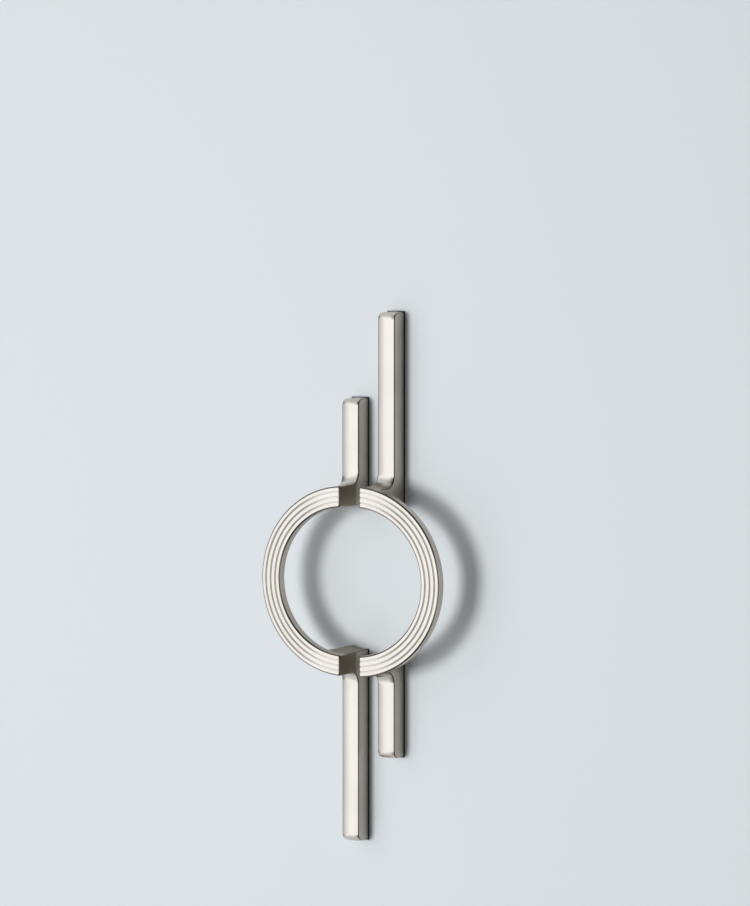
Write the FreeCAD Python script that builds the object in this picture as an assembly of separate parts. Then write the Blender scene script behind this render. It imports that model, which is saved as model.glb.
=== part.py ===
import FreeCAD, Part
import math
import os

from FreeCAD import Vector

# A split ring pull: two castings that close into one grooved ring.
# Each casting is a half ring that stands on two posts, and each post runs on into a bar that lies
# flat on the mounting plane: a long bar from one post and a short bar from the other. Both castings
# have the same shape, and the left one is the right one turned half a turn about the ring's axis.
#
# Frame, in millimetres: the origin is the ring's centre on the mounting plane, +X to the right,
# +Y into the mounting plane and +Z up, so the castings stand out towards -Y.

# Driving dimensions of the pair
hole_pitch = 96.0  # between the two screw holes of one pull
closed_gap = 12.6  # between the cut ends of the two half rings

# Driving dimensions of the half ring
ring_width = 12.0  # across its front
ring_thickness = 6.0  # from its front to its back
projection = 34.0  # its front above the mounting plane
end_setback = 2.75  # from its centre to its cut ends, so it is less than half a turn
groove_count = 3
groove_width = 1.3
groove_depth = 0.6
groove_stop = 0.7  # from the cut end of the ring to the end of a groove

# Driving dimensions of the bars
bar_width = 11.0  # across a bar and its post
bar_depth = 12.0  # its front above the mounting plane
long_reach = 106.0  # from a screw hole to the free end of the long bar
short_reach = 56.0  # from a screw hole to the free end of the short bar

# Driving dimensions of the rounded edges
nose_radius = 4.5  # front corner of a bar's free end
neck_radius = 6.5  # hollow between a bar's front and its post
lip_radius = 1.0  # front edge of the ring's cut ends
edge_radius = 0.6  # all other edges, apart from those on the mounting plane

# Driving dimensions of the screw holes
screw_radius = 1.65  # tapping size for an M4 thread
screw_depth = 14.0  # full bore, before the drill's point
drill_angle = 118.0  # included angle of the drill's point, in degrees
lead_in = 0.4  # 45 degree chamfer at the mouth

# Places that follow from them
end_x = closed_gap / 2
side_x = end_x + bar_width
hole_x = end_x + bar_width / 2
hole_z = hole_pitch / 2
centre_x = end_x - end_setback
mean_radius = math.hypot(hole_z, hole_x - centre_x)  # the ring's middle passes over the screw holes
outer_radius = mean_radius + ring_width / 2
inner_radius = mean_radius - ring_width / 2
front_y = -projection
back_y = front_y + ring_thickness
groove_pitch = ring_width / (groove_count + 1)
clear_x = 2 * outer_radius  # past the ring's widest point

RING_AXIS = Vector(0, 1, 0)
OUTWARD = Vector(0, -1, 0)
NEAR = 1e-4  # how close two places are before they count as one
SHARP = math.radians(20)  # faces that meet at more than this angle make an edge to break


def tube(y_front, y_back):
    """The ring's outline carried from one plane to another, all the way round."""
    base, length = Vector(centre_x, y_front, 0), y_back - y_front
    outside = Part.makeCylinder(outer_radius, length, base, RING_AXIS)
    return outside.cut(Part.makeCylinder(inner_radius, length, base, RING_AXIS))


def keep(solid, x_low, x_high, z_low=-clear_x, z_high=clear_x):
    """The part of a solid that lies between these places, at any depth."""
    corner = Vector(x_low, front_y, z_low)
    return solid.common(Part.makeBox(x_high - x_low, projection, z_high - z_low, corner))


def half_ring():
    """The ring from its cut ends outwards."""
    return keep(tube(front_y, back_y), end_x, clear_x)


def post(up):
    """The end of the half ring carried back to the mounting plane, as wide as a bar."""
    z_low, z_high = (0, clear_x) if up > 0 else (-clear_x, 0)
    return keep(tube(front_y + ring_thickness / 2, 0), end_x, side_x, z_low, z_high)


def bar(up, reach):
    """A flat bar from inside the post to its free end, whose front corner is round."""
    root, tip = up * hole_z, up * (hole_z + reach)
    nose_y, nose_z = nose_radius - bar_depth, tip - up * nose_radius
    slant = nose_radius * math.sqrt(0.5)
    start = Vector(end_x, -bar_depth, root)
    outline = [start, Vector(end_x, 0, root), Vector(end_x, 0, tip), Vector(end_x, nose_y, tip)]
    knee = Vector(end_x, nose_y - slant, nose_z + up * slant)
    turn = Vector(end_x, -bar_depth, nose_z)
    edges = [Part.makeLine(a, b) for a, b in zip(outline, outline[1:])]
    edges.append(Part.Arc(outline[-1], knee, turn).toShape())
    edges.append(Part.makeLine(turn, start))
    return Part.Face(Part.Wire(edges)).extrude(Vector(bar_width, 0, 0))


def neck_edges(body):
    """Where the bars' fronts meet the posts."""
    return [
        edge
        for edge in body.Edges
        if isinstance(edge.Curve, Part.Circle)
        and abs(edge.Curve.Radius - outer_radius) < NEAR
        and all(abs(vertex.Y + bar_depth) < NEAR for vertex in edge.Vertexes)
    ]


def lip_edges(body):
    """The front edges of the ring's cut ends."""
    return [
        edge
        for edge in body.Edges
        if all(math.hypot(v.X - end_x, v.Y - front_y) < NEAR for v in edge.Vertexes)
    ]


def sharp_edges(body):
    """Every sharp outside edge that isn't on the mounting plane."""
    found = []
    for edge in body.Edges:
        faces = body.ancestorsOfType(edge, Part.Face)
        if len(faces) != 2 or edge.BoundBox.YMin > -NEAR:
            continue
        middle = edge.valueAt((edge.FirstParameter + edge.LastParameter) / 2)
        one, other = [face.normalAt(*face.Surface.parameter(middle)) for face in faces]
        hollow = body.isInside(middle + (one - other) * edge_radius / 10, NEAR, True)
        if one.getAngle(other) > SHARP and not hollow:
            found.append(edge)
    return found


def groove(radius):
    """The cutter for one round-bottomed groove in the ring's front."""
    middle = centre_x + radius
    lips = [Vector(middle + side * groove_width / 2, front_y, 0) for side in (-1, 1)]
    floor = Vector(middle, front_y + groove_depth, 0)
    section = Part.Wire([Part.Arc(lips[0], floor, lips[1]).toShape(), Part.makeLine(lips[1], lips[0])])
    turned = Part.Face(section).revolve(Vector(centre_x, 0, 0), RING_AXIS, 360)
    return keep(turned, end_x + groove_stop, clear_x)


def screw_hole(z):
    """The cutter for one blind tapped hole: lead-in, bore and drill's point."""
    mouth, end = Vector(hole_x, 0, z), Vector(hole_x, -screw_depth, z)
    point = screw_radius / math.tan(math.radians(drill_angle / 2))
    bore = Part.makeCylinder(screw_radius, screw_depth, mouth, OUTWARD)
    chamfer = Part.makeCone(screw_radius + lead_in, screw_radius, lead_in, mouth, OUTWARD)
    return bore.fuse([chamfer, Part.makeCone(screw_radius, 0, point, end, OUTWARD)])


def casting():
    """The right pull, with its long bar up and its short bar down."""
    legs = [post(1), post(-1), bar(1, long_reach), bar(-1, short_reach)]
    body = half_ring().fuse(legs).removeSplitter()
    body = body.makeFillet(neck_radius, neck_edges(body))
    body = body.makeFillet(lip_radius, lip_edges(body))
    body = body.makeFillet(edge_radius, sharp_edges(body))
    middle = (groove_count - 1) / 2
    for k in range(groove_count):
        body = body.cut(groove(mean_radius + (k - middle) * groove_pitch))
    for z in (hole_z, -hole_z):
        body = body.cut(screw_hole(z))
    return body.Solids[0]


right_pull = casting()
left_pull = right_pull.rotated(Vector(0, 0, 0), RING_AXIS, 180)

os.makedirs("parts", exist_ok=True)
for name, shape in (("right_pull", right_pull), ("left_pull", left_pull)):
    shape.exportStep("parts/" + name + ".step")
    print(name, "valid" if shape.isValid() else "NOT VALID", round(shape.Volume), "cubic mm")
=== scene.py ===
# %% [markdown]
# # Split ring pull in satin nickel
# Two die-cast pulls stand side by side, and their half rings close into one grooved ring. The packed
# model is the fixed frame: it gives the sizes and places that both castings have to keep. It is
# loaded first, and its box is kept.

# %% Load the frame
import math

import bmesh
import bpy
import numpy as np
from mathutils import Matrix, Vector
from mathutils.geometry import tessellate_polygon


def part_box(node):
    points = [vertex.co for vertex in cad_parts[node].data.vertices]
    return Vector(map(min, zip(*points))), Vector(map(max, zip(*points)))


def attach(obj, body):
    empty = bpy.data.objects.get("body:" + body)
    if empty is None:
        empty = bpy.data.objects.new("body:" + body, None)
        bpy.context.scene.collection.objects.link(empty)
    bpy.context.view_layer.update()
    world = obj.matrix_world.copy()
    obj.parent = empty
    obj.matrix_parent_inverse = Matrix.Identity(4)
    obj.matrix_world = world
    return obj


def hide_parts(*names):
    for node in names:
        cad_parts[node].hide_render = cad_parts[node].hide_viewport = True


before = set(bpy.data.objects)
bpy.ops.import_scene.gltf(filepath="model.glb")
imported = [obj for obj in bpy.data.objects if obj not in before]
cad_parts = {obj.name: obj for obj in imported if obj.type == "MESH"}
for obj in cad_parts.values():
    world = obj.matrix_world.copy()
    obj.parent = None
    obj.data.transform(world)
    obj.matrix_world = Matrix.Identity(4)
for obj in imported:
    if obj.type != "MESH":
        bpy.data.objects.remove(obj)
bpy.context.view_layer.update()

# %% [markdown]
# ## The camera
# The photograph's viewpoint was fitted to the outlines of the ring and the bars. It stands 29 degrees
# to the right and nearly 4 degrees above, a good 2 m away, so the perspective is slight. A camera
# could also be turned by hand until the picture looks alike, but a fitted one puts every edge of the
# render on its edge of the photograph, and then each difference that is left is one of shape or light.

# %% Camera
VIEW_AZIMUTH, VIEW_ELEVATION = math.radians(29.05), math.radians(3.66)
VIEW_DISTANCE = 2.160
AIM = Vector((0.01697, -0.034, 0.07443))
PICTURE_HEIGHT = 906
FOCAL_PIXELS = 3798

back = Vector((
    math.sin(VIEW_AZIMUTH) * math.cos(VIEW_ELEVATION),
    -math.cos(VIEW_AZIMUTH) * math.cos(VIEW_ELEVATION),
    math.sin(VIEW_ELEVATION),
))
camera = bpy.data.objects.new("camera", bpy.data.cameras.new("camera"))
bpy.context.scene.collection.objects.link(camera)
camera.data.sensor_width = 36
camera.data.lens = FOCAL_PIXELS / PICTURE_HEIGHT * camera.data.sensor_width
camera.location = AIM + back * VIEW_DISTANCE
camera.rotation_mode = "QUATERNION"
camera.rotation_quaternion = (-back).to_track_quat("-Z", "Y")
bpy.context.scene.camera = camera
print("lens", round(camera.data.lens, 1), "mm")

# %% [markdown]
# ## Sizes of a casting
# The right pull is worked out in millimetres, and the left one is the same casting turned half a turn.
# The frame gives the outer limits, among them the ring's widest point, and with it the ring's radius.
# The other sizes are the casting's own: the ring's section, the bar's section and the radii of its
# edges. The ring's middle line passes over the screw holes.

# %% Sizes, in millimetres
MM = 0.001
low, high = (np.array(corner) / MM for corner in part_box("right_pull"))
cut_x, front_y, top_z, bottom_z = low[0], low[1], high[2], low[2]
hole_pitch = 96.0
ring_width, ring_thickness = 12.0, 6.0
end_setback = 2.75
bar_width, bar_depth = 11.0, 12.0
crown_height = 0.42
nose_radius, neck_radius = 4.5, 6.5
edge_radius, rim_radius, lip_radius, foot_radius = 0.7, 1.0, 0.9, 0.6
groove_count, groove_width, groove_depth, groove_ramp = 3, 1.25, 0.205, 0.4

side_x = cut_x + bar_width
centre_x = cut_x - end_setback
hole_x = cut_x + bar_width / 2
outer = high[0] - centre_x
inner, mean_radius = outer - ring_width, outer - ring_width / 2
back_y = front_y + ring_thickness
seam_y = back_y - edge_radius
bar_y = -bar_depth
print("ring from radius", round(inner, 2), "to", round(outer, 2))

# %% [markdown]
# ## Profiles
# A casting's outline could be drawn point by point, but it is made of straight runs and arcs only.
# So a profile is a list of rows, and each row holds a point and the outward direction there. The
# direction is what lets a surface be shaped further: a row sinks inwards along it.

# %% Rows of a profile
NAMES = ("radius", "depth", "out_radius", "out_depth", "reach", "share", "front", "groove", "crown", "inset")
RADIUS, DEPTH, OUT_RADIUS, OUT_DEPTH, REACH, SHARE, FRONT, GROOVE, CROWN, INSET = range(len(NAMES))
SAME = 1e-6
ARC_STEPS = 6
LARGE_ARC_STEPS = 3 * ARC_STEPS


def rows_of(points, outward, **values):
    """Profile rows from points (radius, depth) and outward directions, with their other values by name."""
    rows = np.zeros((len(points), len(NAMES)))
    rows[:, [RADIUS, DEPTH]] = points
    rows[:, [OUT_RADIUS, OUT_DEPTH]] = outward
    for name, value in values.items():
        rows[:, NAMES.index(name)] = value
    return rows


def run(start, end, outward, steps, **values):
    """A straight run: start times 1 - s plus end times s, for s from 0 to 1."""
    s = np.linspace(0, 1, steps + 1)[:, None]
    return rows_of(np.array(start) * (1 - s) + np.array(end) * s, outward, **values)


def bend(centre, radius, first, last, steps, hollow=False):
    """An arc: centre plus radius times (cos a, sin a), for a from first to last, in degrees."""
    a = np.radians(np.linspace(first, last, steps + 1))[:, None]
    ray = np.hstack([np.cos(a), np.sin(a)])
    return rows_of(np.array(centre) + radius * ray, -ray if hollow else ray)


def joined(*parts):
    """Parts of a profile end to end, with each shared end kept once."""
    rows = np.vstack(parts)
    step = np.abs(np.diff(rows[:, [RADIUS, DEPTH, REACH, SHARE]], axis=0)).max(1)
    return rows[np.concatenate([[True], step > SAME])]


print("a row holds", ", ".join(NAMES))


# %% [markdown]
# ## The ring's front
# The front is flat, with three shallow grooves that follow the ring. They are cast, not cut, so their
# rims are soft. Each is a raised cosine across its width: no depth and no slope at its rims, and the
# full depth in its middle. Bump in a material would be quicker, but it would lose the outline that
# the grooves give the ring's ends, and their shading at grazing angles.

# %% Rows across the ring's front and its two walls
GROOVE_STEPS, WALL_STEPS, BACK_STEPS = 12, 3, 6


def grooved_front():
    """The front from its inner to its outer edge: depth share = (1 + cos 2 pi s) / 2, s from the middle."""
    pitch = ring_width / (groove_count + 1)
    middles = inner + pitch * np.arange(1, groove_count + 1)
    s = np.linspace(-0.5, 0.5, GROOVE_STEPS + 1)
    radius = (middles[:, None] + groove_width * s).ravel()
    groove = np.tile((1 + np.cos(2 * np.pi * s)) / 2, groove_count)
    edges = [inner + rim_radius, outer - rim_radius]
    radius = np.concatenate([edges[:1], radius, edges[1:]])
    groove = np.concatenate([[0], groove, [0]])
    points = np.stack([radius, np.full(len(radius), front_y)], 1)
    return rows_of(points, (0, -1), front=1, groove=groove)


def front_arc(centre, first, last):
    """A rounded front edge of the ring, which belongs to the front as far as it faces it."""
    rows = bend((centre, front_y + rim_radius), rim_radius, first, last, ARC_STEPS)
    rows[:, FRONT] = -rows[:, OUT_DEPTH]
    return rows


front_rows = joined(
    run((inner, seam_y), (inner, front_y + rim_radius), (-1, 0), WALL_STEPS),
    front_arc(inner + rim_radius, 180, 270),
    grooved_front(),
    front_arc(outer - rim_radius, 270, 360),
    run((outer, front_y + rim_radius), (outer, seam_y), (1, 0), WALL_STEPS),
)
back_rows = joined(
    bend((inner + edge_radius, seam_y), edge_radius, 180, 90, ARC_STEPS),
    run((inner + edge_radius, back_y), (outer - edge_radius, back_y), (0, 1), BACK_STEPS),
    bend((outer - edge_radius, seam_y), edge_radius, 90, 0, ARC_STEPS),
)
print("rows across the front", len(front_rows), "and the back", len(back_rows))

# %% [markdown]
# ## The legs
# Each end of the half ring runs back to the mounting plane as a post, and the post turns through a
# hollow neck into a bar with a round nose. Near the ring the profile turns about the ring's axis, and
# far from it the profile is straight. One formula serves both: a row's height is its height on a
# circle about the ring's axis and its straight reach, mixed by the row's share. The bar's front isn't
# flat but faintly crowned, which gives it a soft gradient, and the foot is rounded, so that a thin
# dark line parts the casting from what it is screwed to. Painted shade on the foot and on the board
# beneath deepens that line.

# %% Rows of a leg
FOOT_STEPS, INNER_STEPS, POST_STEPS, BAR_STEPS, END_STEPS = 4, 8, 4, 12, 4


def foot(radius, out):
    """A wall's rounded foot, from the mounting plane up: inset = foot radius (1 - cos b), b from 90 to 0."""
    b = np.radians(np.linspace(90, 0, FOOT_STEPS + 1))
    points = np.stack([np.full(len(b), radius), foot_radius * (np.sin(b) - 1)], 1)
    return rows_of(points, (out, 0), inset=foot_radius * (1 - np.cos(b)))


inner_rows = joined(foot(inner, -1), run((inner, -foot_radius), (inner, back_y), (-1, 0), INNER_STEPS))


def outer_rows(tip):
    """From the ring's back along the post, the neck and the bar's front to its end on the mounting plane."""
    neck = outer + neck_radius
    nose = tip - nose_radius
    hollow = bend((neck, bar_y - neck_radius), neck_radius, 180, 90, LARGE_ARC_STEPS, hollow=True)
    hollow[:, CROWN] = np.linspace(0, 1, len(hollow)) ** 2
    front = run((neck, bar_y), (neck, bar_y), (0, -1), BAR_STEPS, reach=nose, crown=1)
    front[:, SHARE] = np.linspace(0, 1, len(front))
    far = joined(
        bend((nose, bar_y + nose_radius), nose_radius, 270, 360, LARGE_ARC_STEPS),
        run((tip, bar_y + nose_radius), (tip, -foot_radius), (1, 0), END_STEPS),
        foot(tip, 1)[::-1],
    )
    far[:, REACH], far[:, RADIUS], far[:, SHARE], far[:, CROWN] = far[:, RADIUS], neck, 1, 1
    post = run((outer, back_y), (outer, bar_y - neck_radius), (1, 0), POST_STEPS)
    return joined(post, hollow, front, far)


def place(rows, x):
    """z = (1 - share) sqrt(radius^2 - (x - centre)^2) + share reach, and y = depth + groove.

    Before that a row sinks along its outward direction, by its inset and by the crown's height times
    the square of the distance from the bar's middle, which is 1 where the edges begin.
    """
    across = np.clip((x - hole_x) / (bar_width / 2 - edge_radius), -1, 1)
    sink = rows[..., INSET] + crown_height * rows[..., CROWN] * across**2
    radius, reach = (rows[..., column] - sink * rows[..., OUT_RADIUS] for column in (RADIUS, REACH))
    z = (1 - rows[..., SHARE]) * np.sqrt(radius**2 - (x - centre_x) ** 2) + rows[..., SHARE] * reach
    s = np.clip((x - cut_x - lip_radius) / groove_ramp, 0, 1)
    groove = groove_depth * rows[..., GROOVE] * np.sqrt(s * (2 - s))
    y = rows[..., DEPTH] - sink * rows[..., OUT_DEPTH] + groove
    return np.stack(np.broadcast_arrays(x, y, z), -1)


print("rows up the long leg", len(inner_rows) + len(front_rows) + len(outer_rows(top_z)))

# %% [markdown]
# ## Rounded edges
# A Bevel modifier could round the edges, but it makes uneven strips where three edges meet and where
# the ring leaves the post. Here each side edge is a quarter round of its own: as the angle goes from
# 0 to 90 degrees, the rows sink inwards by the radius while x runs out to the flat side. The front
# edges of the ring's ends are rounder than the others, so there the rows sink by the lip's radius.

# %% Quarter rounds
quarter = np.radians(np.linspace(0, 90, ARC_STEPS + 1))


def side_edge(rows, side, lip):
    """Rows carried over the edge of the flat side at x = side, from the skin to the flat."""
    sunk = rows.copy()
    for column in (RADIUS, REACH):
        sunk[:, column] -= edge_radius * rows[:, OUT_RADIUS]
    sunk[:, DEPTH] = np.maximum(rows[:, DEPTH] - edge_radius * rows[:, OUT_DEPTH], front_y + lip)
    sunk[:, INSET] = 0
    moved = rows[:, None] + (sunk - rows)[:, None] * (1 - np.cos(quarter))[None, :, None]
    grip = edge_radius + (lip - edge_radius) * rows[:, FRONT]
    inwards = 1 if side == cut_x else -1
    off = grip[:, None] * (1 - np.sin(quarter)) + rows[:, INSET, None] * np.sin(quarter)
    return place(moved, side + inwards * off)


def corner(wall, inwards):
    """Where the post's side edge turns into the ring's back edge, about the point E where they meet.

    The edge rolls a quarter turn round E: each point lies off = radius (1 - sin b) from E, in the
    direction a, and radius (1 - cos b) below the wall. Outside it, a fan closes the wall's corner.
    """
    a, b = np.meshgrid(quarter, quarter, indexing="ij")
    off = edge_radius * (1 - np.sin(b))
    rows = np.zeros(a.shape + (len(NAMES),))
    rows[..., RADIUS] = wall + inwards * edge_radius * (1 - np.cos(b))
    rows[..., DEPTH] = back_y - off * np.sin(a)
    roll = place(rows, side_x - off * np.cos(a))
    hub = place(rows_of([(wall, seam_y)], (0, 0))[0], np.array(side_x - edge_radius))
    return [roll, np.stack([np.broadcast_to(hub, roll[:, 0].shape), roll[:, 0]])]


print("a quarter round has", ARC_STEPS, "steps")

# %% [markdown]
# ## Skins and flats
# A leg's skin is its profile carried from the cut side to the outer side, and the ring's skin is its
# section swept round the axis. The flat sides are one face each, because a large face keeps its
# corners' shading flat. The back has a screw hole in it, so it is divided into triangles round it.

# %% Skins
LEG_STEPS, RING_STEPS = 14, 220
shoulder_x = side_x - edge_radius


def leg_skin(rows):
    """Rows at each x from the cut side's flat to the start of the outer side's edge."""
    edge = side_edge(rows, cut_x, lip_radius)[:, ::-1]
    start = cut_x + edge_radius + (lip_radius - edge_radius) * rows[:, FRONT, None]
    length = shoulder_x - cut_x - lip_radius
    steps = np.concatenate([groove_ramp * (1 - np.cos(quarter)),
                            np.linspace(groove_ramp, length, LEG_STEPS + 1)[1:]])
    x = start + (shoulder_x - start) * steps / length
    return np.concatenate([edge, place(rows[:, None], x)[:, 1:]], axis=1)


def ring_skin(rows):
    """The section swept from the upper leg to the lower: x = centre + r sin t and z = r cos t."""
    radius = rows[:, RADIUS, None]
    start = np.arcsin((side_x - centre_x) / radius)
    t = start + (np.pi - 2 * start) * np.linspace(0, 1, RING_STEPS + 1)
    y = np.broadcast_to((rows[:, DEPTH] + groove_depth * rows[:, GROOVE])[:, None], t.shape)
    return np.stack([centre_x + radius * np.sin(t), y, radius * np.cos(t)], -1)


def without_repeats(points):
    """An outline's points, with each run of equal points kept once."""
    return points[np.linalg.norm(points - np.roll(points, 1, axis=0), axis=1) > SAME]


print("points of the ring's front skin", ring_skin(front_rows).shape[:2])

# %% [markdown]
# ## The tapped holes
# Each leg has a blind hole in its back, which takes a machine screw from behind. Nobody sees it once
# the pull is on, but it is what a fitter looks at first. A thread is a surface of two parameters: the
# angle a and the depth d. Its radius rises and falls with d / pitch - a / (2 pi), so that it winds in.

# %% Thread and drill point
HOLE_SIDES, ROWS_A_TURN = 48, 8
screw_radius, screw_depth, thread_length, lead_in = 1.65, 14.0, 11.0, 0.4
thread_pitch, thread_height = 0.7, 0.35
drill_angle = 118.0
drill_point = screw_radius / math.tan(math.radians(drill_angle / 2))


def tapped_hole(z):
    """Radius = bore + height |2 frac(d / pitch - a / 2 pi) - 1|, cut back by the lead-in, then a cone."""
    turns = round(screw_depth / thread_pitch * ROWS_A_TURN)
    d, a = np.meshgrid(np.linspace(0, screw_depth, turns + 1),
                       np.linspace(0, 2 * np.pi, HOLE_SIDES + 1)[:-1], indexing="ij")
    wave = np.abs(2 * ((d / thread_pitch - a / (2 * np.pi)) % 1) - 1)
    fade = np.clip((thread_length - d) / thread_pitch, 0, 1)
    radius = np.maximum(screw_radius + thread_height * wave * fade, screw_radius + lead_in - d)
    radius[0] = screw_radius + lead_in
    radius = np.vstack([radius, np.zeros(HOLE_SIDES)])
    d, a = np.vstack([d, d[-1:] + drill_point]), np.vstack([a, a[-1:]])
    points = np.stack([hole_x + radius * np.cos(a), -d, z + radius * np.sin(a)], -1)
    return np.concatenate([points, points[:, :1]], axis=1)


print("thread", round(thread_length / thread_pitch), "turns, drill's point", round(drill_point, 2), "mm")

# %% [markdown]
# ## The grain
# Satin nickel is brushed before it is plated: along the bars, and round the ring. A pattern on the
# object's own coordinates would run straight across the ring, so each piece of skin carries a map in
# millimetres: u across the grain, and v along it.

# %% Grain maps


def grain_around(points):
    """u = radius + y, which grows across the front and down the walls, and v = the arc's length."""
    x, y, z = points[..., 0] - centre_x, points[..., 1], points[..., 2]
    return np.stack([np.hypot(x, z) + y, np.arctan2(x, z) * mean_radius], -1)


def grain_along(points):
    """u = x + y, which grows across the front and down the sides, and v = z."""
    return np.stack([points[..., 0] + points[..., 1], points[..., 2]], -1)


print("grain round half the ring", round(math.pi * mean_radius), "mm long")

# %% [markdown]
# ## Putting a casting together
# Every piece of skin is a grid of points, and neighbouring grids share the points of their common
# border exactly, so merging doubles closes the whole casting without a boolean. A closed casting has
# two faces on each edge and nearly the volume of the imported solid, and both are printed as a test.

# %% Collect the skins of one casting


class Casting:
    """Points, faces and grain maps of the skins that make one casting."""

    def __init__(self):
        self.points, self.grain, self.faces, self.count = [], [], [], 0

    def add(self, points, grain, faces):
        """Points with their grain, and faces that number them from 0."""
        self.faces += [[self.count + k for k in face] for face in faces]
        self.points.append(points.reshape(-1, 3))
        self.grain.append(grain(points).reshape(-1, 2))
        self.count += points.size // 3

    def skin(self, points, grain):
        """A grid of points, closed with quads between neighbours."""
        number = np.arange(points[..., 0].size).reshape(points.shape[:2])
        quads = [number[:-1, :-1], number[:-1, 1:], number[1:, 1:], number[1:, :-1]]
        self.add(points, grain, np.stack(quads, -1).reshape(-1, 4).tolist())

    def side(self, outline):
        """A flat side: one face above the foot, and under it the rounded foot from end to end."""
        flat = without_repeats(outline[FOOT_STEPS:-FOOT_STEPS])
        self.add(flat, grain_along, [list(range(len(flat)))])
        self.skin(np.stack([outline[:FOOT_STEPS + 1], outline[:-FOOT_STEPS - 2:-1]], 1), grain_along)

    def pierced(self, outline, hole):
        """A flat divided into triangles between its outline and a hole."""
        outline = without_repeats(outline)
        rings = [[Vector(p) for p in ring] for ring in (outline, hole)]
        self.add(np.vstack([outline, hole]), grain_along, tessellate_polygon(rings))


def add_leg(casting, tip, up):
    """One post and its bar: skin, side edges, both flat sides, the back and its screw hole."""
    mirror = np.array([1, 1, up])
    bar_rows = outer_rows(tip)
    skin = leg_skin(np.vstack([inner_rows, front_rows, bar_rows])) * mirror
    ring_end = len(inner_rows) + len(front_rows)
    casting.skin(skin[:ring_end], grain_around)
    casting.skin(skin[ring_end - 1:], grain_along)
    inner_edge, bar_edge = (side_edge(rows, side_x, edge_radius) * mirror for rows in (inner_rows, bar_rows))
    casting.skin(inner_edge, grain_along)
    casting.skin(bar_edge, grain_along)
    casting.skin(place(front_rows[:, None], np.array([shoulder_x, side_x])) * mirror, grain_around)
    for wall, inwards in ((inner, 1), (outer, -1)):
        for patch in corner(wall, inwards):
            casting.skin(patch * mirror, grain_around)
    under_ring = ring_skin(back_rows)[ARC_STEPS + 1:-ARC_STEPS - 1, 0] * mirror
    casting.side(skin[:, 0])
    casting.side(np.vstack([inner_edge[:, -1], under_ring, bar_edge[:, -1]]))
    hole = tapped_hole(up * hole_pitch / 2)
    casting.skin(hole, grain_along)
    near, far = np.vstack([skin[0], inner_edge[0, 1:]]), np.vstack([skin[-1], bar_edge[-1, 1:]])
    casting.pierced(np.vstack([near, far[::-1]]), hole[0, :-1])


right = Casting()
add_leg(right, top_z, 1)
add_leg(right, -bottom_z, -1)
right.skin(ring_skin(front_rows), grain_around)
right.skin(ring_skin(back_rows), grain_around)
print("right casting:", right.count, "points before merging")

# %% [markdown]
# ## Two pulls from one casting
# The left pull is the right one turned half a turn about the ring's axis, so both x and z change sign.
# That is a turn and not a mirror image, and the faces keep their outsides. The fronts are buffed
# before plating and the walls stay as cast, so each point keeps two numbers for the finish: how far it
# faces forwards, and how much it lies on a rounded rim, where a dark reflection is painted into the
# colour. Both come from its normal. They are the same all over a flat face, so they suit it however
# few points it has.

# %% Make the two pulls
MERGE = 1e-6
SHARP = math.radians(35)
FACE_WEIGHT = 90
BUFFED_FROM, BUFFED_TO = 0.1, 0.75
LEG_RIM, RING_RIM = (0.6, 0.92), (0.36, 0.66)
RING_SIDE, RING_END = 0.1, 0.6
GAP = 0.3


def vectors(mesh, name):
    """The points' places or normals, as an array of three columns."""
    values = np.zeros(3 * len(mesh.vertices))
    mesh.vertices.foreach_get(name, values)
    return values.reshape(-1, 3)


def smooth_step(value, start, end):
    """s^2 (3 - 2 s), for s from 0 at start to 1 at end."""
    s = np.clip((value - start) / (end - start), 0, 1)
    return s * s * (3 - 2 * s)


def finish_numbers(mesh):
    """Polish = a step in the normal's share of front. Rim = a step in sin 2a, with a from flat to flat.

    On the ring a is the normal's angle with the front, and its front rims fade towards the ring's
    sides, where the edges mirror the band of light. On a leg a is the normal's angle with the side.
    Rim marks where a dark reflection is painted into the colour.
    """
    spot, normal = vectors(mesh, "co") / MM, vectors(mesh, "normal")
    on_ring = spot[:, 1] < back_y + edge_radius
    flat = np.abs(np.where(on_ring, normal[:, 1], normal[:, 0]))
    sin_2a = 2 * flat * np.sqrt(np.clip(1 - flat**2, 0, 1))
    height = np.hypot(np.abs(spot[:, 0]) - centre_x, spot[:, 2])
    grooved = np.abs(height - mean_radius) < ring_width / 2 - rim_radius - GAP
    # Fades out the painted dark reflection on the ring's front rims near its sides, where the edges mirror
    # the band of light.
    rim_fade = smooth_step(np.abs(spot[:, 2]) / height, RING_END, RING_SIDE) * (normal[:, 1] < 0)
    ring_rim = smooth_step(sin_2a, *RING_RIM) * (1 - rim_fade) * ~grooved
    return {
        "polish": smooth_step(-normal[:, 1], BUFFED_FROM, BUFFED_TO),
        "rim": np.where(on_ring, ring_rim, smooth_step(sin_2a, *LEG_RIM)),
    }


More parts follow.
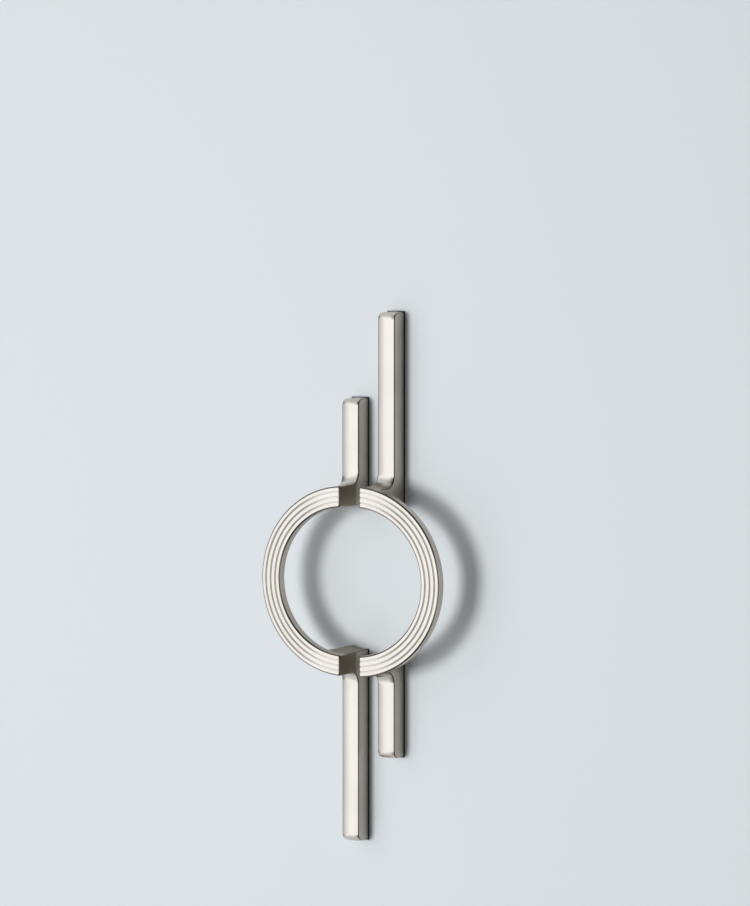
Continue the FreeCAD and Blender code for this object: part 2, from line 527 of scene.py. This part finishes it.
def build(name, casting, turn, shift):
    """A closed mesh object from a casting, whose x and z are multiplied by turn."""
    mesh = bpy.data.meshes.new(name)
    points = np.vstack(casting.points) * np.array([turn, 1, turn]) * MM
    mesh.from_pydata(points.tolist(), [], casting.faces)
    corners = np.zeros(len(mesh.loops), dtype=int)
    mesh.loops.foreach_get("vertex_index", corners)
    grain = mesh.uv_layers.new(name="grain")
    grain.uv.foreach_set("vector", (np.vstack(casting.grain) + shift)[corners].ravel())
    work = bmesh.new()
    work.from_mesh(mesh)
    bmesh.ops.remove_doubles(work, verts=work.verts, dist=MERGE)
    bmesh.ops.dissolve_degenerate(work, edges=work.edges, dist=MERGE / 10)
    bmesh.ops.recalc_face_normals(work, faces=work.faces)
    open_edges = sum(not edge.is_manifold for edge in work.edges)
    volume = work.calc_volume() / MM**3
    work.to_mesh(mesh)
    work.free()
    for number, values in finish_numbers(mesh).items():
        mesh.attributes.new(number, "FLOAT", "POINT").data.foreach_set("value", values)
    mesh.shade_smooth()
    mesh.set_sharp_from_angle(angle=SHARP)
    piece = bpy.data.objects.new(name, mesh)
    bpy.context.scene.collection.objects.link(piece)
    weighted = piece.modifiers.new("weighted normals", "WEIGHTED_NORMAL")
    weighted.keep_sharp, weighted.weight = True, FACE_WEIGHT
    print(name, len(mesh.polygons), "faces,", open_edges, "open edges,", round(volume), "cubic mm")
    return piece


pulls = {}
for name, turn, shift in (("right_pull", 1, 0), ("left_pull", -1, 300)):
    piece = build("nickel_" + name, right, turn, shift)
    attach(piece, "root")
    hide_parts(name)
    pulls[name] = piece

# %% [markdown]
# ## Shader maths in Python
# A material is a graph of small sums. Written as Python expressions it stays readable, so one class
# wraps a socket and turns each operator into a Math node, and one method makes every other node.

# %% Sockets that can be added and multiplied


class Shader:
    """A material's or world's nodes, made one at a time."""

    def __init__(self, owner):
        owner.use_nodes = True
        self.tree = owner.node_tree
        self.tree.nodes.clear()

    def node(self, kind, settings=None, output=0, **values):
        """A node of this kind: settings are its properties, and values its sockets, by name or number."""
        made = self.tree.nodes.new("ShaderNode" + kind)
        for key, value in (settings or {}).items():
            setattr(made, key, value)
        for key, value in values.items():
            number = key.removeprefix("at_")
            socket = made.inputs[int(number)] if number.isdigit() else made.inputs[key.replace("_", " ")]
            if isinstance(value, Socket):
                self.tree.links.new(value.socket, socket)
            else:
                socket.default_value = value
        return Socket(self, made.outputs[output]) if made.outputs else made

    def apart(self, vector):
        """A vector's x, y and z."""
        split = self.node("SeparateXYZ", Vector=vector).socket.node
        return [Socket(self, output) for output in split.outputs]

    def mix(self, share, first, second):
        """One colour where share is 0, and the other where it is 1."""
        return self.node("Mix", {"data_type": "RGBA"}, output=2, at_0=share, at_6=first, at_7=second)

    def larger(self, first, second):
        """The larger of two values."""
        return self.node("Math", {"operation": "MAXIMUM"}, at_0=first, at_1=second)

    def rise(self, value, start, end):
        """A smooth step: 0 before start, 1 after end, and falling where end is the lower."""
        return self.node("MapRange", {"interpolation_type": "SMOOTHSTEP"}, Value=value,
                         From_Min=start, From_Max=end)


class Socket:
    """A node's output, which the arithmetic operators turn into Math nodes."""

    def __init__(self, shader, socket):
        self.shader, self.socket = shader, socket

    def math(self, operation, first, second=0.0):
        return self.shader.node("Math", {"operation": operation}, at_0=first, at_1=second)

    def __add__(self, other):
        return self.math("ADD", self, other)

    def __sub__(self, other):
        return self.math("SUBTRACT", self, other)

    def __rsub__(self, other):
        return self.math("SUBTRACT", other, self)

    def __mul__(self, other):
        return self.math("MULTIPLY", self, other)

    def __pow__(self, other):
        return self.math("POWER", self, other)

    def __abs__(self):
        return self.math("ABSOLUTE", self)

    __radd__, __rmul__ = __add__, __mul__


print("sockets can be added, subtracted, multiplied, raised to a power and made positive")

# %% [markdown]
# ## Satin nickel
# Nickel is a warm grey metal, and the brushed satin under it spreads what it mirrors. The fine grain
# is noise that is stretched along the map's v direction, in a bump and a little in the roughness, and
# a slow, faint cloud over the whole casting keeps the plating from looking like one flat value. The
# walls are deeper in colour and rougher than the buffed fronts. On the ring's cut ends, which face the
# gap between the pulls, and on the posts' inner walls behind the ring, shade is painted in, much
# deeper still, and a thin dark line of painted shade runs along the foot. The rounded rims carry a
# painted dark reflection. The cut ends, inner walls and foot are places and not directions, so the
# material finds them by their coordinates.

# %% The finish of both castings
BUFFED, BUFFED_DEEP = (0.74, 0.695, 0.63, 1), (0.70, 0.65, 0.58, 1)
CAST, CAST_DEEP = (0.56, 0.515, 0.45, 1), (0.50, 0.455, 0.39, 1)
# Painted shade: the cut ends and the posts' inner walls are painted much darker, standing in for the shade
# in the gap and behind the ring.
PAINTED_RECESS_SHADE, PAINTED_RECESS_SHADE_DEEP = (0.30, 0.25, 0.185, 1), (0.26, 0.215, 0.155, 1)
# Painted dark reflection on the rounded rims, and painted shade along the foot, in one dark colour.
PAINTED_DARK_LINE_SHARE, PAINTED_DARK_LINE_COLOUR = 0.92, (0.06, 0.054, 0.045, 1)
# Painted shade: a thin dark line along the foot, where the casting meets the board.
FOOT_SHADE_HEIGHT, FOOT_SHADE_END = 0.55, 0.1
POST_FADE = 4.0
FINE_GRAIN, COARSE_GRAIN = (6.0, 0.12, 1), (1.4, 0.02, 1)
GRAIN_RELIEF, GRAIN_HEIGHT = 0.2, 0.02 * MM
CLOUD_SCALE, CLOUD_SHARE, TONE_RANGE = 38.0, 0.6, (0.35, 0.65)
WALL_ROUGHNESS, POLISHING, GRAIN_ROUGHNESS, CLOUD_ROUGHNESS = 0.40, 0.27, 0.05, 0.03


def painted_shade_places(shader, spot):
    """Recess shade = near the cut ends above the bars' fronts, or within the inner radius behind the ring.

    Foot shade = a painted dark line of shade round the foot, which ends where the back begins. Both are
    worked out in millimetres.
    """
    x, y, z = (place * (1 / MM) for place in shader.apart(spot))
    sideways = abs(x) - centre_x
    radius = (sideways * sideways + z * z) ** 0.5
    facing_gap = shader.rise(abs(x), cut_x + GAP, cut_x) * shader.rise(y, bar_y, bar_y - POST_FADE)
    inside = shader.rise(radius, inner + GAP, inner) * shader.rise(y, seam_y, back_y)
    # Painted shade mask: the cut ends facing the gap, and the inner walls behind the ring.
    recess_shade = shader.larger(facing_gap, inside)
    # Painted shade mask: a thin band just above the mounting plane.
    foot_shade = shader.rise(y, -FOOT_SHADE_HEIGHT, -FOOT_SHADE_HEIGHT / 2) * shader.rise(y, 0, -FOOT_SHADE_END)
    return recess_shade, foot_shade


def satin_nickel():
    """Brushed satin nickel: roughness = walls - polish + grain + cloud, with the grain as a fine bump."""
    material = bpy.data.materials.new("brushed_satin_nickel")
    shader = Shader(material)
    polish, rim = (
        shader.node("Attribute", {"attribute_name": name}, output="Fac") for name in ("polish", "rim")
    )
    grain_map = shader.node("UVMap", {"uv_map": "grain"})
    fine, coarse = (
        shader.node("TexNoise", Scale=1.0, Detail=3.0, Roughness=0.6, Vector=shader.node(
            "VectorMath", {"operation": "MULTIPLY"}, at_0=grain_map, at_1=stretch))
        for stretch in (FINE_GRAIN, COARSE_GRAIN)
    )
    spot = shader.node("TexCoord", output="Object")
    recess_shade, foot_shade = painted_shade_places(shader, spot)
    cloud = shader.node("TexNoise", Vector=spot, Scale=CLOUD_SCALE, Detail=2.0, Roughness=0.5)
    tone = shader.rise(cloud * CLOUD_SHARE + coarse * (1 - CLOUD_SHARE), *TONE_RANGE)
    # The walls take the painted shade colour where that mask is set.
    walls = shader.mix(recess_shade, shader.mix(tone, CAST_DEEP, CAST), shader.mix(tone, PAINTED_RECESS_SHADE_DEEP, PAINTED_RECESS_SHADE))
    colour = shader.mix(polish, walls, shader.mix(tone, BUFFED_DEEP, BUFFED))
    # Painted dark lines: a dark reflection on the rims and shade along the foot.
    painted_dark_line = shader.larger(rim, foot_shade)
    colour = shader.mix(painted_dark_line * PAINTED_DARK_LINE_SHARE, colour, PAINTED_DARK_LINE_COLOUR)
    roughness = WALL_ROUGHNESS - polish * POLISHING + fine * GRAIN_ROUGHNESS + cloud * CLOUD_ROUGHNESS
    bump = shader.node("Bump", Strength=GRAIN_RELIEF, Distance=GRAIN_HEIGHT, Height=fine)
    surface = shader.node(
        "BsdfPrincipled", Base_Color=colour, Metallic=1.0, Roughness=roughness, Normal=bump
    )
    shader.node("OutputMaterial", Surface=surface)
    return material


finish = satin_nickel()
for piece in pulls.values():
    piece.data.materials.append(finish)
print("finish", finish.name, "with", len(finish.node_tree.nodes), "nodes")

# %% [markdown]
# ## The surface behind
# The pulls are made to be fixed, so they need something to stand on that takes their shadow. It is a
# plain pale board. Four openings under the bars, smaller than their backs, let light reach the backs,
# and the board is clear from behind, so that the object can be looked at from every side. Under the
# legs, where they press on it, hardly any light gets in, so painted shade makes the board dark there
# and fades out just beside them. All that can be seen of it is a thin painted shadow line round their
# feet.

# %% Backdrop
BOARD = (0.753, 0.791, 0.812, 1)
BOARD_HALF = 2.0 / MM
BOARD_Y = 0.5
MARGIN = 1.2
# Painted shade on the board under and just beside the legs, seen as a dark line round their feet.
CONTACT_SHADE_COLOUR, CONTACT_SHADE_EDGE = (0.01, 0.01, 0.01, 1), 0.7


def backdrop():
    """A sheet just behind the mounting plane, in rectangles, without those that lie under a leg."""
    xs = [-BOARD_HALF, -side_x + MARGIN, -cut_x - MARGIN, cut_x + MARGIN, side_x - MARGIN, BOARD_HALF]
    ends = [inner + MARGIN, top_z - MARGIN, -bottom_z - MARGIN]
    zs = sorted([-BOARD_HALF, BOARD_HALF] + ends + [-end for end in ends])
    legs = {1: (-top_z, -bottom_z), 3: (bottom_z, top_z)}
    x, z = np.meshgrid(xs, zs, indexing="ij")
    points = np.stack([x, np.full(x.shape, BOARD_Y), z], -1).reshape(-1, 3) * MM
    number = np.arange(x.size).reshape(x.shape)
    faces = []
    for i in range(len(xs) - 1):
        for k in range(len(zs) - 1):
            middle = (zs[k] + zs[k + 1]) / 2
            under = i in legs and abs(middle) > inner and legs[i][0] < middle < legs[i][1]
            if not under:
                faces.append([number[i, k], number[i + 1, k], number[i + 1, k + 1], number[i, k + 1]])
    mesh = bpy.data.meshes.new("board")
    mesh.from_pydata(points.tolist(), [], faces)
    board = bpy.data.objects.new("board", mesh)
    bpy.context.scene.collection.objects.link(board)
    return board


def painted_contact_shade(shader):
    """1 under a leg: cut side < |x| < outer side, inner radius < |z| and bottom < along < top.

    Along is z on the right and -z on the left, because the left pull is turned half a turn. Beside the
    leg it falls to 0, so the painted shade fades out there.
    """
    x, _, z = (place * (1 / MM) for place in shader.apart(shader.node("TexCoord", output="Object")))
    along = z * (shader.rise(x, -cut_x, cut_x) * 2 - 1)
    inside = shader.rise(abs(z), inner - CONTACT_SHADE_EDGE, inner)
    for value, first, last in ((abs(x), cut_x, side_x), (along, bottom_z, top_z)):
        inside = inside * shader.rise(value, first - CONTACT_SHADE_EDGE, first)
        inside = inside * shader.rise(value, last + CONTACT_SHADE_EDGE, last)
    return inside


def board_finish():
    """A matt pale paint on the front, dark under the legs, and nothing on the back."""
    material = bpy.data.materials.new("board_paint")
    shader = Shader(material)
    side = shader.node("NewGeometry", output="Backfacing")
    # The board's colour turns dark where the painted shade lies under and beside the legs.
    colour = shader.mix(painted_contact_shade(shader), BOARD, CONTACT_SHADE_COLOUR)
    paint = shader.node("BsdfPrincipled", Base_Color=colour, Roughness=0.7)
    clear = shader.node("BsdfTransparent")
    both = shader.node("MixShader", at_0=side, at_1=paint, at_2=clear)
    shader.node("OutputMaterial", Surface=both)
    return material


board = backdrop()
board.data.materials.append(board_finish())
print("board faces", len(board.data.polygons), "normal", board.data.polygons[0].normal[:])

# %% [markdown]
# ## Light
# A satin metal shows its surroundings more than its own colour. Every surface that is straight across
# a bar, from its front to its nose and its neck, mirrors directions with one and the same x, which is
# the viewer's own x with the other sign. So one band of light at that x, like an arch from below the
# object to above it, lights all fronts, and everything beside it is dark. That darkens the edges,
# where the surface turns away, and a dark reflection painted on the rims draws the thin dark lines
# along them. The lamp throws the ring's shadow. It isn't mirrored, because its image would burn out
# the fronts. Each limit of the band is a pair: where the light begins to rise, and where it has risen.

# %% Lamp and world
DARK, BAND = (0.02, 0.02, 0.02, 1), (1.30, 1.33, 1.38, 1)
BELOW, BEHIND = (0.22, 0.22, 0.22, 1), (0.75, 0.79, 0.81, 1)
LEVEL = (0.38, 0.12)
ARCH_LEFT, ARCH_RIGHT = (-0.78, -0.62), (-0.12, -0.30)
WIDE_LEFT, WIDE_RIGHT, WIDE_LEAST = (-1.04, -0.45), (0.14, -0.06), 0.1
FADE, FADE_SHARE = (0.25, 0.9), 0.5
BELOW_DOWN, BELOW_RIGHT = (-0.15, -0.4), (-0.1, 0.15)
KEY_AZIMUTH, KEY_ELEVATION, KEY_DISTANCE = -13.9, 0.3, 2.2
KEY_SIZE, KEY_RADIANCE = 0.54, 29.0


def lamp(name, azimuth, elevation, distance, size, radiance):
    """A square area lamp that faces the ring. Its power is pi times its area times its radiance."""
    data = bpy.data.lights.new(name, "AREA")
    data.shape, data.size = "SQUARE", size
    data.energy = math.pi * size**2 * radiance
    made = bpy.data.objects.new(name, data)
    bpy.context.scene.collection.objects.link(made)
    a, e = math.radians(azimuth), math.radians(elevation)
    way = Vector((math.sin(a) * math.cos(e), -math.cos(a) * math.cos(e), math.sin(e)))
    made.location = way * distance
    made.rotation_mode = "QUATERNION"
    made.rotation_quaternion = (-way).to_track_quat("-Z", "Y")
    made.visible_camera = made.visible_glossy = False
    return made


def studio():
    """Band = a rise and a fall in x, sharp and narrow far up and down, soft and wide at eye level."""
    world = bpy.data.worlds.new("studio")
    shader = Shader(world)
    x, _, z = shader.apart(shader.node("TexCoord", output="Generated"))
    level = shader.rise(abs(z), *LEVEL)
    arch = shader.rise(x, *ARCH_LEFT) * shader.rise(x, *ARCH_RIGHT)
    wide = shader.rise(x, *WIDE_LEFT) * (shader.rise(x, *WIDE_RIGHT) * (1 - WIDE_LEAST) + WIDE_LEAST)
    band = (arch + (wide - arch) * level) * (1 - shader.rise(abs(z), *FADE) * FADE_SHARE)
    below = shader.rise(z, *BELOW_DOWN) * shader.rise(x, *BELOW_RIGHT)
    light = shader.mix(band, shader.mix(below, DARK, BELOW), BAND)
    shown = shader.mix(shader.node("LightPath", output="Is Camera Ray"), light, BEHIND)
    shader.node("OutputWorld", Surface=shader.node("Background", Color=shown, Strength=1.0))
    return world


lamp("key", KEY_AZIMUTH, KEY_ELEVATION, KEY_DISTANCE, KEY_SIZE, KEY_RADIANCE)
bpy.context.scene.world = studio()
bpy.context.scene.view_settings.view_transform = "Standard"
print("lamps", [light.name for light in bpy.data.lights])
